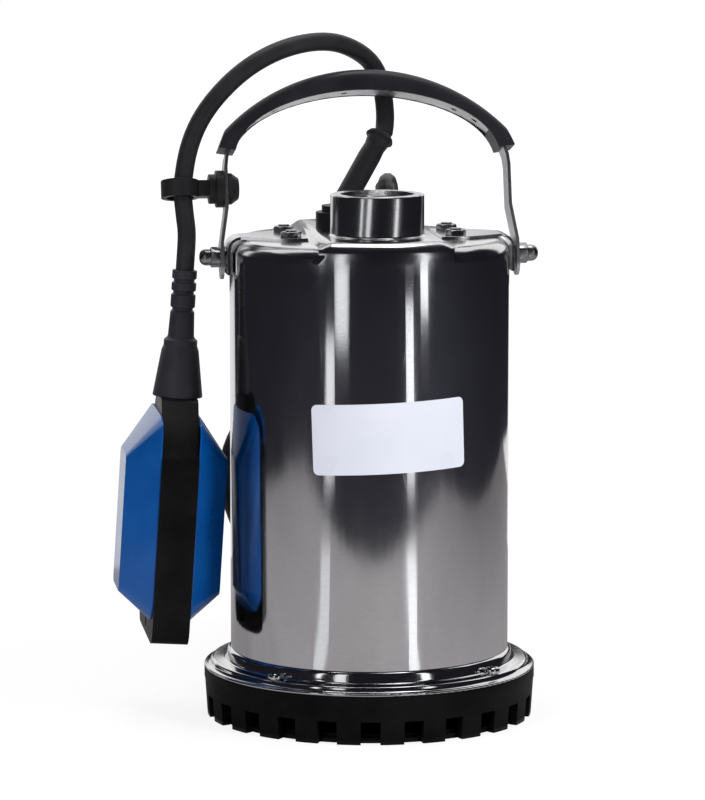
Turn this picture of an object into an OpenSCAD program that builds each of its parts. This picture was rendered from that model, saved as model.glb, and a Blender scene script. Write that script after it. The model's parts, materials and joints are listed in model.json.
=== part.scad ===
// Submersible sump pump with a float switch: steel jacket on a toothed strainer base,
// top outlet, bail handle, float on its cable, and a mains lead wound for storage.
// Millimetres. Origin at the centre of the base on the floor, +Z up the pump axis,
// the outlet towards -Y and the float towards -X.

/* [Jacket] */
// Outside diameter of the steel jacket
jacket_d = 151; // [146:0.5:156]
// Sheet thickness of the jacket
jacket_wall = 1.2; // [0.8:0.1:1.6]
// Height of the straight wall, from the flange foot to the flat of the top
wall_h = 223.7; // [215:0.5:240]
// Radius of the rounded top edge
shoulder_r = 8; // [5:0.5:9]
// Height of the raised band across the top
boss_rise = 3.7; // [2:0.1:5]
// Width of the flat of the raised band
boss_w = 58; // [56:1:60]
// Width of the S-shaped slope on each side of the band
boss_slope = 7; // [4:0.5:8]

/* [Flange] */
// How far the flange ring stands out from the jacket wall
flange_w = 14.5; // [13:0.1:17]
// Sheet thickness of the flange ring
flange_t = 1.6; // [1.2:0.1:2]
// Rise of the flange ring from its lip to the jacket wall
flange_rise = 10.8; // [9.6:0.1:12]
// Distance of the flange screws out from the jacket wall
screw_out = 6.9; // [6.5:0.1:7.4]

/* [Strainer base] */
// Height of the base
base_h = 26; // [25:0.5:30]
// Inward draft of the base wall at the floor
base_draft = 1.6; // [0.5:0.1:2.5]
// Thickness of the base wall
base_wall = 4.5; // [3.5:0.1:5]
// Number of inlet notches
notch_count = 24; // [20:1:26]
// Width of an inlet notch
notch_w = 10.4; // [8:0.1:11]
// Height of an inlet notch
notch_h = 12.4; // [10:0.1:12.8]
// Thickness of the deck that closes the base
deck_t = 3; // [2.5:0.1:3.5]
// Diameter of the suction eye in the deck
eye_d = 40; // [34:1:44]
// Thickness of the bottom plate
plate_t = 3; // [2:0.1:4]

/* [Outlet] */
// Outside diameter of the outlet socket
outlet_d = 50; // [47:0.5:52]
// Wall diameter of the threaded outlet hole
outlet_bore = 38.95; // [37:0.05:41]
// Height of the outlet socket above the band
outlet_h = 22; // [18:0.5:26]
// Distance from the pump axis forward to the outlet axis
outlet_offset = 30; // [28:0.5:32]
// Leg of the weld bead at the foot of the socket
weld_leg = 1.5; // [1:0.1:2]

/* [Handle brackets] */
// Plate thickness of a bracket
bracket_t = 1.5; // [1.2:0.1:2]
// Width of the bracket under its two nuts
bracket_w = 44; // [42:1:48]
// Width of the bracket leg at the side
leg_w = 20; // [16:1:24]
// Gap between the jacket wall and the bracket leg
leg_gap = 0.9; // [0.6:0.1:1.4]
// Inside bend radius of the bracket
bend_r = 6; // [4:0.5:7]
// Distance from the flat of the top down to the pivot
pivot_drop = 10.1; // [9.5:0.1:12]
// Distance from the flat of the top down to the end of the leg
leg_drop = 19; // [18.5:0.5:22]
// Distance of the bracket studs from the middle plane, sideways
stud_x = 44.5; // [42:0.5:47]
// Distance of the bracket studs from the middle plane, front and back
stud_y = 16; // [14.5:0.5:17]
// Diameter of the studs and pivot bolts
stud_d = 6; // [5:0.1:6.4]
// Width across the flats of the nuts
nut_af = 10; // [9.6:0.1:11]
// Height of a plain nut
nut_h = 3.2; // [3:0.1:5]

/* [Handle] */
// Gap between a bracket leg and the handle's arm
arm_gap = 2.3; // [2.1:0.05:3]
// How far each arm steps inward above the pivot
arm_step = 3.2; // [2:0.1:4]
// Thickness of the handle strap
strap_t = 1.8; // [1.4:0.1:2.2]
// Width of the handle strap
strap_w = 15; // [12:0.5:17]
// Height of the straight arms above the pivot
arm_h = 48; // [44:1:54]
// Height of the arch above the straight arms
arch_h = 42; // [38:1:48]
// Length of the arm below the pivot
arm_tail = 12; // [9:0.5:13]
// Backward lean of the handle at rest, in degrees
handle_lean = 15; // [13:0.5:17]
// Width of the rubber grip
grip_w = 19; // [18:0.5:22]
// Thickness of the grip above the strap at its middle
grip_crown = 11; // [9:0.5:12]

/* [Cable clip] */
// Height of the cable clip above the pivot
clip_h = 37; // [34:0.5:40]
// Distance from the strap out to the middle of the clip ring
clip_reach = 24.5; // [23:0.1:26]
// Outside diameter of the clip ring
clip_d = 20.4; // [19:0.1:22]
// Bore of the clip ring
clip_bore = 14.8; // [14.2:0.1:16]
// Height of the clip ring
clip_w = 9.6; // [8:0.1:11]

/* [Float] */
// Width of the float's frame
float_w = 80; // [74:1:84]
// Height of the frame's straight sides and shoulders together
float_h = 130.5; // [122:0.5:134]
// Thickness of the frame
frame_t = 20; // [16:0.5:22]
// Wall of the frame
frame_wall = 5; // [4:0.5:6]
// How far each shell stands out from the frame
shell_out = 17.5; // [15:0.5:18.5]
// Wall of the shells
shell_wall = 2; // [1.5:0.1:2.5]
// Inward tilt of the hanging float, in degrees
float_tilt = 3.7; // [2:0.1:4]
// Length of bare cable between the float's hinge and its boot
tail_len = 19.5; // [16:0.5:24]
// Length of the ribbed strain relief and the boot together
boot_len = 68.5; // [64:0.5:74]
// Diameter of the switch ball
ball_d = 12; // [10:0.5:13]
// Travel of the switch ball
ball_travel = 9; // [6:0.5:10]

/* [Motor and pump] */
// Outside diameter of the motor can
can_d = 116; // [112:1:120]
// Sheet thickness of the motor can
can_wall = 1.2; // [1:0.1:2]
// Diameter of the shaft in the bearings
shaft_d = 15; // [12:0.1:16]
// Outside diameter of the ball bearings
bearing_d = 35; // [33:0.5:38]
// Width of the ball bearings
bearing_w = 11; // [9:0.5:12]
// Diameter of the rotor core
rotor_d = 66; // [58:1:68]
// Air gap between the rotor and the stator
air_gap = 0.4; // [0.3:0.05:0.6]
// Height of the rotor and stator stack
stack_h = 62; // [50:1:84]
// Diameter of the impeller
impeller_d = 92; // [80:1:96]
// Number of impeller vanes
vane_count = 6; // [4:1:7]
// Diameter of the start capacitor
capacitor_d = 26; // [22:0.5:26]

/* [Cords] */
// Diameter of the float cable
float_cable_d = 10; // [8:0.5:10]
// Diameter of the mains lead
power_cord_d = 8; // [7:0.5:8]
// Diameter of the mains plug
plug_d = 36; // [32:1:40]

/* [Hidden] */
$fn = 64;

steel = [0.78, 0.79, 0.80];
dark_steel = [0.55, 0.56, 0.58];
black = [0.06, 0.06, 0.07];
rubber = [0.10, 0.10, 0.11];
blue = [0.02, 0.28, 0.56];
copper = [0.72, 0.42, 0.22];
iron = [0.40, 0.40, 0.42];
white = [0.85, 0.85, 0.84];

slip = 0.05;      // radial gap of a turning or sliding fit
gap = 0.3;        // gap between pieces that move past each other
seat = 0.1;       // gap of a piece dropped into its seat
step_over = 1;    // how far a cutter runs past the face it cuts

// heights, from the floor up
jacket_r = jacket_d / 2;
flange_d = jacket_d + 2 * flange_w;
screw_pcr = jacket_r + screw_out;
foot_z = base_h + flange_rise;
flat_z = foot_z + wall_h;
boss_z = flat_z + boss_rise;
pivot_z = flat_z - pivot_drop;
deck_z = notch_h + 1.1;
deck_top = deck_z + deck_t;

// pump chamber
diffuser_floor = 3;
chamber_h = 18.5;
chamber_z = deck_top + diffuser_floor;
seal_z = chamber_z + chamber_h;
diffuser_r = 66;
vane_h = 9;
impeller_disc = 3;
impeller_z = chamber_z + 2;
hub_r = 11;
shaft_nose_d = 12;
nose_top = seal_z + 9;

// motor
can_r = can_d / 2;
spigot_r = can_r - can_wall - seat;
plate_rim = 5;
spigot_h = 7;
can_z = seal_z + plate_rim;
head_z = flat_z - 24.5;
head_rim = 6;
lower_bearing_z = seal_z + 11;
stack_z = seal_z + 47;
coil_h = 19;
upper_disc_z = stack_z + stack_h + coil_h + 6;
upper_disc_t = 6;
upper_bearing_z = upper_disc_z + upper_disc_t;
bearing_hub_r = bearing_d / 2 + 4.5;
seal_ring_r = 13.5;
oring_r = 1.3;

// sockets on top
float_gland_at = [-14, 10];
float_gland_r = 13.8;
float_gland_stem = 11;
power_gland_at = [11, 14.5];
power_gland_r = 9.4;
power_gland_stem = 8.4;
gland_h = 9;

// handle: local x across, y along the strap's width, z up from the pivot
leg_x = jacket_r + leg_gap;
arm_x = leg_x + bracket_t + arm_gap;
arch_x = arm_x - arm_step;
strap_bend_z = 6.5;
strap_step_z = 26;
grip_lip = 0.2;
grip_end = 4.3;
grip_foot_h = arm_h + 10;
bolt_r = stud_d / 2;
washer_r = 6;
nut_x = arm_x + strap_t / 2 + slip;
cap_hex = 5.2;
cap_dome = 5.8;

function handle_pt(x, n, h) = [x,
    h * sin(handle_lean) + n * cos(handle_lean),
    pivot_z + h * cos(handle_lean) - n * sin(handle_lean)];

clip_pt = handle_pt(-(arch_x + clip_reach), 0, clip_h);
float_pivot = clip_pt + [3.7, 0, -24];

// float, measured down from its hinge
boot_top = -tail_len;
boot_foot = boot_top - boot_len;
frame_bottom = boot_foot - float_h;
shoulder_z = boot_foot - 24;
shell_top = boot_foot - 8;
shell_bottom = frame_bottom + 12;
neck_w = 28;
capsule_z = frame_bottom + 48;
capsule_h = ball_d + ball_travel + 10;

// sleeves over the cables where they leave the top
sleeve_len = 55.5;
sleeve_start = concat(float_gland_at + [-3, 1], boss_z + 5.8);
sleeve_dir = unit([28, 23, 42]);
sleeve_end = sleeve_start + sleeve_len * sleeve_dir;
sleeve_bend = 30;
sleeve_centre = [10.5, 13 + sleeve_bend, flat_z - 3.4];
cord_sleeve = [for (a = [8:9.5:65]) sleeve_centre
    + [2 * ease(a / 65), -sleeve_bend * cos(a), sleeve_bend * sin(a)]];
cord_sleeve_end = cord_sleeve[len(cord_sleeve) - 1];

// route of the float cable from its sleeve over the grip to the clip
// its middle points: across, along the strap's width, and up from the arch
float_loop = [
     [14, 19.5, -3.5], [13, 18.5, 7.5], [8, 14.5, 18], [-2, 6, 23.5], [-15, -3.5, 26.5],
     [-32.5, -11, 24.5], [-50.3, -14, 18.5], [-67, -15, 8.5], [-81, -13, -4.5], [-91, -10,
     -17.5]];
float_route = concat([sleeve_end, sleeve_end + 7 * sleeve_dir],
    [for (p = float_loop) handle_pt(p.x * arch_x / 77, p.y, p.z + arm_h + arch_h)],
    [clip_pt + [4.6, -0.4, 22], clip_pt + [3, -0.3, 13.9]]);
clip_route = [clip_pt + [2.9, -0.3, 13.5], clip_pt + [1.2, 0, 0], clip_pt + [2.9, 0, -17],
    clip_pt + [2.9, 0, -18.2]];

// route of the mains lead from its sleeve, down behind the jacket, to its coil
coil_at = [17, 169];
coil_across = 5;
coil_layers = 6;
coil_mid_r = 50;
coil_wire_r = coil_mid_r + (coil_across - 1) / 2 * power_cord_d;
coil_top = coil_layers * power_cord_d;
// first the part over the top, measured up from the flat, then the part behind the wall
lead_top = [[13.4, 36.2, 25.8], [14.6, 44.7, 26.8], [17, 52, 26.8], [20, 60.5, 25.4], [22.5, 71, 20.8],
     [23.8, 79.5, 12.2], [24, 84, 1.5], [22.5, 85.5, -9], [19.5, 86.5, -21], [14, 88.5, -33.5],
     [6.5, 90.5, -45], [-3, 91.5, -56], [-14, 91.5, -66.5], [-26, 91, -76.5], [-38, 90, -87]];
power_route = concat([cord_sleeve_end,
        cord_sleeve_end + 1.5 * unit(cord_sleeve_end - cord_sleeve[len(cord_sleeve) - 2])],
    [for (p = lead_top) [p.x, p.y, p.z + flat_z]],
    [[-49.5, 88, 162], [-60, 84.5, 149], [-68, 82, 135.5], [-71.5, 81, 122], [-70, 81.5, 108],
     [-64.5, 83, 94.5], [-58.5, 85.5, 80.5], [-52.5, 89, 66], [-47.5, 93, 51.5], [-44, 98, 38],
     [-42, 105, 26], [-42, 114, 16.5], [-43.5, 125, 10], [-45.5, 137, 6]],
    [[coil_at.x - coil_wire_r + 1, coil_at.y - 20, 4.2], [coil_at.x - coil_wire_r, coil_at.y - 6, 4]]);

// plug lying on the coil
plug_len = 34;
plug_boot_len = 26;
pin_d = 4.8;
pin_len = 19;
pin_pitch = 19;
tail_bend = 38;
tail_sweep = 62;
tail_turn = 60;
tail_z = coil_top - power_cord_d / 2;
tail_centre = [coil_at.x - coil_wire_r + tail_bend, coil_at.y];
tail_arcs = concat(
    [for (a = [0:10:90]) [tail_centre.x - tail_bend * cos(a), tail_centre.y + tail_bend * sin(a),
        tail_z + power_cord_d * ease(a / 90)]],
    [for (a = [7.5:7.5:tail_turn]) [tail_centre.x + tail_sweep * sin(a),
        tail_centre.y + tail_bend - tail_sweep * (1 - cos(a)),
        tail_z + power_cord_d + (plug_d - power_cord_d) / 2 * ease(a / tail_turn)]]);
plug_turn = 180 - tail_turn;
plug_dir = [cos(plug_turn), sin(plug_turn), 0];
tail_route = concat(tail_arcs, [tail_arcs[len(tail_arcs) - 1] - 1.5 * plug_dir]);
plug_at = tail_route[len(tail_route) - 1] - (plug_len + plug_boot_len + gap) * plug_dir;

// ---------- functions ----------

function unit(v) = v / norm(v);
function ease(t) = t * t * (3 - 2 * t);
function shaft_nose_r() = shaft_nose_d / 2;

// points on an arc in the plane, centre c, from angle a0 to a1
function arc(c, r, a0, a1, n = 8) =
    [for (i = [0:n]) c + r * [cos(a0 + (a1 - a0) * i / n), sin(a0 + (a1 - a0) * i / n)]];

// normals along a plane path, and the band of a given thickness about it
function path_normal(p, i) =
    let (d = unit(p[min(i + 1, len(p) - 1)] - p[max(i - 1, 0)])) [-d.y, d.x];
function side_of(p, off) = [for (i = [0:len(p) - 1]) p[i] + off * path_normal(p, i)];
function flip(p) = [for (i = [len(p) - 1:-1:0]) p[i]];
function band(p, a, b) = concat(side_of(p, a), flip(side_of(p, b)));

// middle line of the handle strap, from the left arm's foot over the arch
function strap_half() = concat(
    [[arm_x, -arm_tail], [arm_x, strap_bend_z], [arch_x, strap_step_z]],
    [for (a = [0:7.5:82.5]) [arch_x * cos(a), arm_h + arch_h * sin(a)]]);
function strap_path() = concat(strap_half(), [[0, arm_h + arch_h]],
    [for (p = flip(strap_half())) [-p.x, p.y]]);

// tube swept along a route: frames carried on from ring to ring
function tangent(p, i) = unit(p[min(i + 1, len(p) - 1)] - p[max(i - 1, 0)]);
function square_to(u, t) = unit(u - (u * t) * t);
function frames(p) = [for (i = 0, u = square_to([0.31, -0.87, 0.23], tangent(p, 0));
    i < len(p);
    i = i + 1, u = i < len(p) ? square_to(u, tangent(p, i)) : u) u];
function ring(c, t, u, r, sides) =
    [for (k = [0:sides - 1]) c + r * (cos(360 * k / sides) * u + sin(360 * k / sides) * cross(t, u))];

module tube(p, r, sides = 10, r_end = 0) {
    fr = frames(p);
    taper = (r_end > 0 ? r_end - r : 0) / (len(p) - 1);
    points = [for (i = [0:len(p) - 1]) each ring(p[i], tangent(p, i), fr[i], r + taper * i, sides)];
    last = (len(p) - 1) * sides;
    polyhedron(points, concat(
        [[for (k = [0:sides - 1]) k]],
        [for (i = [0:len(p) - 2], k = [0:sides - 1])
            [i * sides + k, (i + 1) * sides + k,
             (i + 1) * sides + (k + 1) % sides, i * sides + (k + 1) % sides]],
        [[for (k = [sides - 1:-1:0]) last + k]]));
}

// ---------- shared shapes ----------

module along(p, d) {
    translate(p) rotate([0, acos(d.z), atan2(d.y, d.x)]) children();
}

module ring_solid(r_out, r_in, h, z = 0) {
    translate([0, 0, z]) difference() {
        cylinder(r = r_out, h = h);
        translate([0, 0, -step_over]) cylinder(r = r_in, h = h + 2 * step_over);
    }
}

module hex_prism(af, h) {
    cylinder(d = af / cos(30), h = h, $fn = 6);
}

module nut(af, h, r_hole) {
    difference() {
        intersection() {
            hex_prism(af, h);
            // chamfered crown
            rotate_extrude() polygon([[0, 0], [af / 2 + 0.6, 0], [af / 2 + 0.6, h - 0.6],
                [af / 2 - 0.2, h], [0, h]]);
        }
        translate([0, 0, -step_over]) cylinder(r = r_hole, h = h + 2 * step_over);
    }
}

// pan-head screw, its seat at z = 0, head upward
module pan_screw(shank_r, shank_l, head_r, head_h) {
    difference() {
        union() {
            translate([0, 0, -shank_l]) cylinder(r = shank_r, h = shank_l);
            rotate_extrude() polygon(concat([[0, 0], [head_r, 0]],
                arc([head_r - head_h * 0.7, head_h * 0.3], head_h * 0.7, 0, 90, 5), [[0, head_h]]));
        }
        for (a = [0, 90]) rotate([0, 0, a]) translate([0, 0, head_h])
            cube([head_r * 1.1, 1, 2], center = true);
    }
}

module at_studs() {
    for (x = [-1, 1], y = [-1, 1]) translate([x * stud_x, y * stud_y, 0]) children();
}

module at_flange_screws() {
    for (a = [45:90:315]) rotate([0, 0, a]) translate([screw_pcr, 0, 0]) children();
}

// ---------- housing ----------

// solid form of the jacket: a round-shouldered drum with a raised band across its top
module drum(r, top, shoulder, bottom) {
    rotate_extrude() polygon(concat([[0, bottom], [r, bottom]],
        arc([r - shoulder, top - shoulder], shoulder, 0, 90), [[0, top]]));
}

function slope_half() = [for (k = [0:6])
    [boss_w / 2 + boss_slope * (1 - k / 6), boss_rise * (1 - cos(180 * k / 6)) / 2]];

module jacket_form(inset, bottom) {
    r = jacket_r - inset;
    shoulder = shoulder_r - inset;
    band_profile = concat([[boss_w / 2 + boss_slope, -20]], slope_half(),
        [for (p = flip(slope_half())) [-p.x, p.y]], [[-boss_w / 2 - boss_slope, -20]]);
    drum(r, flat_z - inset, shoulder, bottom);
    intersection() {
        drum(r, boss_z - inset, shoulder, bottom);
        translate([0, 0, flat_z - inset]) rotate([90, 0, 0])
            linear_extrude(2 * r + 2, center = true) polygon(band_profile);
    }
}

module jacket() {
    color(steel) difference() {
        jacket_form(0, foot_z);
        jacket_form(jacket_wall, foot_z - step_over);
        translate([0, -outlet_offset, boss_z - 5]) cylinder(r = outlet_d / 2 - 2, h = 10);
        translate(concat(float_gland_at, boss_z - 5)) cylinder(r = float_gland_stem + seat, h = 10);
        translate(concat(power_gland_at, boss_z - 5)) cylinder(r = power_gland_stem + seat, h = 10);
        at_studs() translate([0, 0, flat_z - 5]) cylinder(r = bolt_r + 0.3, h = 10);
    }
}

// pressed steel ring between the jacket wall and the base
function flange_line() = let (r = jacket_r, e = flange_d / 2) concat(
    [[r - jacket_wall, foot_z]],
    arc([r - 0.4, foot_z - 2.4], 2.4, 90, 10, 5),
    [[r + 2.4, base_h + 6.8]],
    arc([r + 3.8, base_h + 6], 1.2, 180, 270, 4),
    [[e - 5.4, base_h + 4.8]],
    arc([e - 5.2, base_h + 3.2], 1.6, 80, 10, 4));

module flange_ring() {
    line = flange_line();
    e = flange_d / 2;
    lip_r = flange_t / 2 + 0.15;
    color(steel) difference() {
        union() {
            rotate_extrude() polygon(concat(line, [[e - 3.2, base_h + 2.1],
                [e - lip_r, base_h + 2 * lip_r], [e - lip_r, base_h], [e - 4.8, base_h]],
                flip([for (p = line) [p.x - flange_t * 0.8, p.y - flange_t]])));
            // rolled outer lip
            rotate_extrude() translate([e - lip_r, base_h + lip_r]) circle(r = lip_r, $fn = 20);
        }
        at_flange_screws() translate([0, 0, base_h - 5]) cylinder(r = 2.6, h = 20);
    }
}

module flange_screws() {
    shelf_z = base_h + 4.8;
    washer_h = 0.8;
    seat_z = shelf_z + washer_h;
    color(dark_steel) at_flange_screws() {
        translate([0, 0, seat_z]) pan_screw(2.4, seat_z - deck_top - 2, 4.2, 2.7);
        ring_solid(2.95, 2.3, washer_h, shelf_z);
    }
}

module outlet_socket() {
    color(steel) translate([0, -outlet_offset, boss_z]) difference() {
        rotate_extrude() polygon(concat(
            [[0, 0], [outlet_d / 2 + weld_leg, 0]],
            flip(arc([outlet_d / 2 + weld_leg, weld_leg], weld_leg, 180, 270, 5)),
            [[outlet_d / 2, outlet_h - 0.6], [outlet_d / 2 - 0.6, outlet_h], [0, outlet_h]]));
        translate([0, 0, -step_over]) cylinder(d = outlet_bore, h = outlet_h + 2 * step_over);
    }
}

// ---------- brackets and pivots ----------

module bracket(side) {
    outer_r = bend_r + bracket_t;
    inner_x = 36;
    corner = [leg_x - bend_r, flat_z - bend_r];
    profile = concat([[inner_x, flat_z], [corner.x, flat_z]],
        flip(arc(corner, bend_r, 0, 90)), [[leg_x, flat_z - leg_drop],
        [leg_x + bracket_t, flat_z - leg_drop]],
        arc(corner, outer_r, 0, 90), [[inner_x, flat_z + bracket_t]]);
    color(steel) scale([side, 1, 1]) difference() {
        intersection() {
            rotate([90, 0, 0]) linear_extrude(bracket_w, center = true) polygon(profile);
            // plan outline: wide under the nuts, narrow at the side
            translate([0, 0, flat_z - leg_drop - 5]) linear_extrude(leg_drop + 20)
                polygon([[inner_x, -bracket_w / 2], [stud_x + 8, -bracket_w / 2],
                    [corner.x, -leg_w / 2], [leg_x + 10, -leg_w / 2],
                    [leg_x + 10, leg_w / 2], [corner.x, leg_w / 2],
                    [stud_x + 8, bracket_w / 2], [inner_x, bracket_w / 2]]);
        }
        for (y = [-1, 1]) translate([stud_x, y * stud_y, flat_z - 2])
            cylinder(r = bolt_r + 0.2, h = 10);
        translate([leg_x - 2, 0, pivot_z]) rotate([0, 90, 0]) cylinder(r = bolt_r + slip, h = 10);
    }
}

module bracket_left() { bracket(-1); }
module bracket_right() { bracket(1); }

module bracket_studs() {
    color(dark_steel) at_studs() translate([0, 0, flat_z - 14])
        cylinder(r = bolt_r, h = 14 + bracket_t + nut_h + 0.8);
}

module bracket_nuts() {
    color(dark_steel) at_studs() translate([0, 0, flat_z + bracket_t]) nut(nut_af, nut_h, bolt_r + slip);
}

module both_sides() {
    for (s = [0, 180]) rotate([0, 0, s]) children();
}

module pivot_bolts() {
    color(dark_steel) both_sides() translate([leg_x, 0, pivot_z]) rotate([0, 90, 0])
        cylinder(r = bolt_r, h = nut_x + cap_hex + 2 - leg_x);
}

module pivot_washers() {
    inner = leg_x + bracket_t;
    room = arm_x - strap_t / 2 - slip - inner;
    color(dark_steel) both_sides() translate([inner, 0, pivot_z]) rotate([0, 90, 0]) {
        ring_solid(washer_r, bolt_r + slip, room * 0.55);
        ring_solid(washer_r - 1.2, bolt_r + slip, room * 0.45, room * 0.55);
    }
}

module cap_nuts() {
    dome_r = nut_af / 2 - 0.5;
    color(steel) both_sides() translate([nut_x, 0, pivot_z]) rotate([0, 90, 0]) difference() {
        union() {
            nut(nut_af, cap_hex, 0.01);
            rotate_extrude() polygon(concat([[0, 1], [dome_r, 1], [dome_r, cap_hex + 1.4]],
                arc([dome_r - 3.6, cap_hex + cap_dome - 3.6], 3.6, 0, 90, 6),
                [[0, cap_hex + cap_dome]]));
        }
        translate([0, 0, -step_over]) cylinder(r = bolt_r + slip, h = cap_hex + 2 + 2 * step_over);
    }
}

// ---------- base ----------

module strainer_base() {
    top_r = flange_d / 2;
    color(black) difference() {
        union() {
            rotate_extrude() polygon([
                [top_r - base_draft, 0], [top_r - 0.3, base_h - 6], [top_r, base_h - 5.5],
                [top_r, base_h], [top_r - base_wall - 0.6, base_h],
                [top_r - base_wall - base_draft, deck_top + 1],
                [top_r - base_wall - base_draft, deck_top], [eye_d / 2 + 3, deck_top],
                [eye_d / 2, deck_top - 1], [eye_d / 2, deck_z - 1], [eye_d / 2 + 2, deck_z],
                [top_r - base_wall - base_draft, deck_z], [top_r - base_wall - base_draft, 0]]);
            at_flange_screws() translate([0, 0, deck_z]) cylinder(r = 5.2, h = base_h - deck_z - 0.2);
            // posts that carry the bottom plate
            for (a = [0:90:270]) rotate([0, 0, a]) translate([48, 0, plate_t])
                cylinder(r = 5, h = deck_z - plate_t + 0.5);
            // ribs on the underside of the deck
            for (a = [30:60:330]) rotate([0, 0, a])
                translate([56, -1, deck_z - 3.5]) cube([29, 2, 4]);
        }
        // inlet notches between the teeth
        for (k = [0:notch_count - 1]) rotate([0, 0, 360 * (k + 0.5) / notch_count - 90])
            translate([top_r - 12, -notch_w / 2, -step_over]) cube([20, notch_w, notch_h + step_over]);
        at_flange_screws() translate([0, 0, deck_top + 1]) cylinder(r = 2.4 + slip, h = base_h);
        for (a = [0:90:270]) rotate([0, 0, a]) translate([48, 0, -step_over])
            cylinder(r = 1.7 + slip, h = plate_t + step_over + 8);
    }
}

module bottom_plate() {
    plate_r = flange_d / 2 - base_wall - base_draft - 0.25;
    color(black) difference() {
        union() {
            cylinder(r = plate_r, h = plate_t);
            // ring that stiffens the plate under its rim
            ring_solid(plate_r - 3, plate_r - 5, 1.5, plate_t - 0.01);
        }
        for (a = [0:90:270]) rotate([0, 0, a]) translate([48, 0, -step_over]) {
            cylinder(r = 1.9, h = plate_t + 2);
            cylinder(r = 3.6, h = 2 + step_over);
        }
    }
}

module plate_screws() {
    color(dark_steel) for (a = [0:90:270]) rotate([0, 0, a]) translate([48, 0, 2])
        rotate([180, 0, 0]) pan_screw(1.7, 8, 3.3, 1.6);
}

// ---------- pump and motor ----------

// backward-swept blade: a thin arc strip between two radii
module blade(r0, r1, sweep, t, h) {
    n = 8;
    line = [for (i = [0:n]) let (r = r0 + (r1 - r0) * i / n, a = sweep * i / n)
        [r * cos(a), r * sin(a)]];
    linear_extrude(h) polygon(band(line, t / 2, -t / 2));
}

module diffuser() {
    color(black) translate([0, 0, deck_top]) {
        ring_solid(diffuser_r + 4, eye_d / 2 + 1, diffuser_floor);
        for (a = [0:45:315]) rotate([0, 0, a]) translate([0, 0, diffuser_floor - 0.01])
            blade(impeller_d / 2 + 3, diffuser_r + 2, 22, 2.4, chamber_h + 0.01);
    }
}

module impeller() {
    bore = shaft_nose_r() + slip;
    color(black) translate([0, 0, impeller_z]) difference() {
        union() {
            translate([0, 0, vane_h]) cylinder(r = impeller_d / 2, h = impeller_disc);
            for (k = [0:vane_count - 1]) rotate([0, 0, 360 * k / vane_count])
                blade(hub_r - 1, impeller_d / 2 - 0.5, -62, 2.6, vane_h + 0.5);
            translate([0, 0, vane_h - 5]) cylinder(r = hub_r, h = impeller_disc + 8);
        }
        translate([0, 0, -step_over]) cylinder(r = bore, h = 40);
    }
}

module impeller_nut() {
    color(dark_steel) translate([0, 0, impeller_z + vane_h - 5 - 4.2])
        nut(17, 4.2, shaft_nose_r() + slip);
}

module seal_plate() {
    color(iron) translate([0, 0, seal_z]) difference() {
        union() {
            cylinder(r = can_r + 2, h = plate_rim);
            cylinder(r = spigot_r, h = plate_rim + spigot_h);
            cylinder(r = bearing_hub_r, h = lower_bearing_z - seal_z + bearing_w);
            // feet that stand on the diffuser's blades
            ring_solid(diffuser_r + 3, can_r, 3);
        }
        translate([0, 0, -step_over]) cylinder(r = seal_ring_r + seat, h = 8 + step_over);
        translate([0, 0, 5]) cylinder(r = shaft_d / 2 + 1, h = 60);
        translate([0, 0, lower_bearing_z - seal_z]) cylinder(d = bearing_d + 2 * slip, h = 60);
        // oil space round the bearing hub
        translate([0, 0, plate_rim + 1]) ring_solid(spigot_r - 4, bearing_hub_r + 0.01, 20);
        translate([0, 0, plate_rim + 2]) ring_solid(spigot_r + 1, spigot_r - 2 * oring_r, 2 * oring_r + 0.2);
    }
}

module shaft_seal() {
    color(dark_steel) ring_solid(seal_ring_r, shaft_nose_r() + slip, 7.8, seal_z + 0.1);
}

module bearing(z) {
    color(dark_steel) translate([0, 0, z]) rotate_extrude() polygon([
        [shaft_d / 2 + slip, 0], [bearing_d / 2 - 4, 0], [bearing_d / 2 - 4, 0.6],
        [bearing_d / 2 - 3, 0.6], [bearing_d / 2 - 3, 0], [bearing_d / 2, 0],
        [bearing_d / 2, bearing_w], [bearing_d / 2 - 3, bearing_w],
        [bearing_d / 2 - 3, bearing_w - 0.6], [bearing_d / 2 - 4, bearing_w - 0.6],
        [bearing_d / 2 - 4, bearing_w], [shaft_d / 2 + slip, bearing_w]]);
}

module lower_bearing() { bearing(lower_bearing_z); }
module upper_bearing() { bearing(upper_bearing_z); }

module motor_can() {
    color(steel) ring_solid(can_r, can_r - can_wall, head_z - can_z, can_z);
}

module stator() {
    color(iron) difference() {
        ring_solid(can_r - can_wall - seat, rotor_d / 2 + air_gap, stack_h, stack_z);
        // key slots down the outside of the stack
        for (a = [0:60:300]) rotate([0, 0, a]) translate([can_r - can_wall - 1.2, -2, stack_z - 1])
            cube([4, 4, stack_h + 2]);
    }
}

module windings() {
    inner = rotor_d / 2 + 3;
    outer = can_r - can_wall - 4;
    color(copper) for (z = [stack_z - coil_h, stack_z + stack_h]) translate([0, 0, z])
        rotate_extrude() polygon([[inner + 2, 0], [outer - 2, 0], [outer, 2],
            [outer, coil_h - 2], [outer - 2, coil_h], [inner + 2, coil_h],
            [inner, coil_h - 2], [inner, 2]]);
}

module upper_bracket() {
    color(iron) translate([0, 0, upper_disc_z]) difference() {
        union() {
            ring_solid(spigot_r, shaft_d / 2 + 1, upper_disc_t);
            cylinder(r = bearing_hub_r, h = upper_disc_t + bearing_w);
            // skirt that stands on the stator stack
            translate([0, 0, stack_z + stack_h - upper_disc_z])
                ring_solid(spigot_r, spigot_r - 2.5, upper_disc_z - stack_z - stack_h + 1);
        }
        translate([0, 0, -step_over]) cylinder(r = shaft_d / 2 + 1, h = 40);
        translate([0, 0, upper_disc_t]) cylinder(d = bearing_d + 2 * slip, h = 40);
    }
}

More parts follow.
